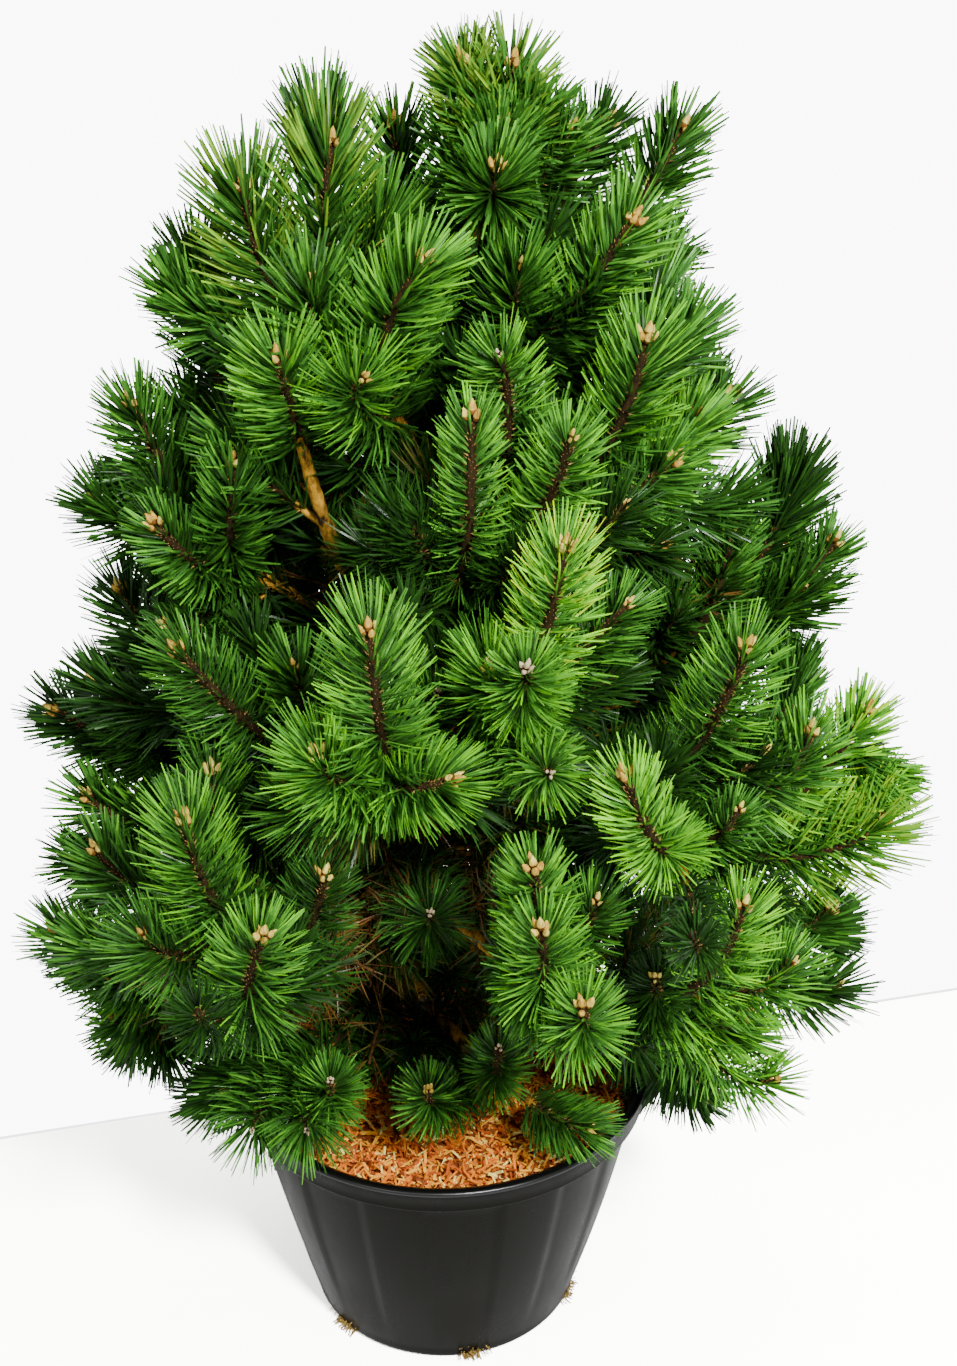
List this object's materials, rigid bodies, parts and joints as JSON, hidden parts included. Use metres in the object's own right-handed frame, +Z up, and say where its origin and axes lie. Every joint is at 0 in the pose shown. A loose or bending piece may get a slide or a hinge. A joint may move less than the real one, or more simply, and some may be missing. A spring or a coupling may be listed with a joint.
{
  "type": "potted mugo pine",
  "caption": "Potted mugo pine: a leaning trunk, spreading boughs and upturned needle shoots over bark mulch in a tapered nursery pot.",
  "frame": {"origin": "centre of the pot's flat underside", "axes": "+Z up along the pot's axis, -Y the front, +X to the right seen from the front"},
  "size_m": [0.9806, 0.9791, 1.4546],
  "materials": {
    "pot": "black moulded plastic with a soft sheen",
    "mulch": "shredded orange-brown bark chips",
    "bark": "grey-brown to golden-brown scaly bark",
    "foliage": "mid to dark green needles, yellow-green at the shoot tips"
  },
  "bodies": {
    "root": {"pot": "pot", "mulch": "mulch", "trunk": "bark", "bough_top_left": "bark", "bough_left_shoulder": "bark", "bough_left_high": "bark", "bough_front_high": "bark", "bough_right_high": "bark", "bough_top_right": "bark", "bough_yellow_front": "bark", "bough_middle_front": "bark", "bough_left_middle": "bark", "bough_left_outer": "bark", "bough_left_front": "bark", "bough_front_low_left": "bark", "bough_left_low": "bark", "bough_front_low_right": "bark", "bough_right_middle": "bark", "bough_right_high_outer": "bark", "bough_right_outer": "bark", "bough_front_right_low": "bark", "bough_right_low": "bark", "bough_back_left": "bark", "bough_back": "bark", "bough_back_right": "bark", "bough_back_low_left": "bark", "bough_back_low_right": "bark", "foliage_top": "foliage", "foliage_top_left": "foliage", "foliage_upper_front": "foliage", "foliage_left_shoulder": "foliage", "foliage_left_high": "foliage", "foliage_front_high": "foliage", "foliage_right_high": "foliage", "foliage_top_right": "foliage", "foliage_yellow_front": "foliage", "foliage_middle_front": "foliage", "foliage_left_middle": "foliage", "foliage_left_outer": "foliage", "foliage_left_front": "foliage", "foliage_front_low_left": "foliage", "foliage_front_inner": "foliage", "foliage_left_low": "foliage", "foliage_front_low_right": "foliage", "foliage_right_middle": "foliage", "foliage_right_high_outer": "foliage", "foliage_right_outer": "foliage", "foliage_front_right_low": "foliage", "foliage_right_low": "foliage", "foliage_rim_left": "foliage", "foliage_rim_right": "foliage", "foliage_back_top": "foliage", "foliage_back_high_left": "foliage", "foliage_back_high_right": "foliage", "foliage_back_left": "foliage", "foliage_back": "foliage", "foliage_back_right": "foliage", "foliage_back_low_left": "foliage", "foliage_back_low_right": "foliage", "foliage_rim_back": "foliage"}
  },
  "joints": []
}
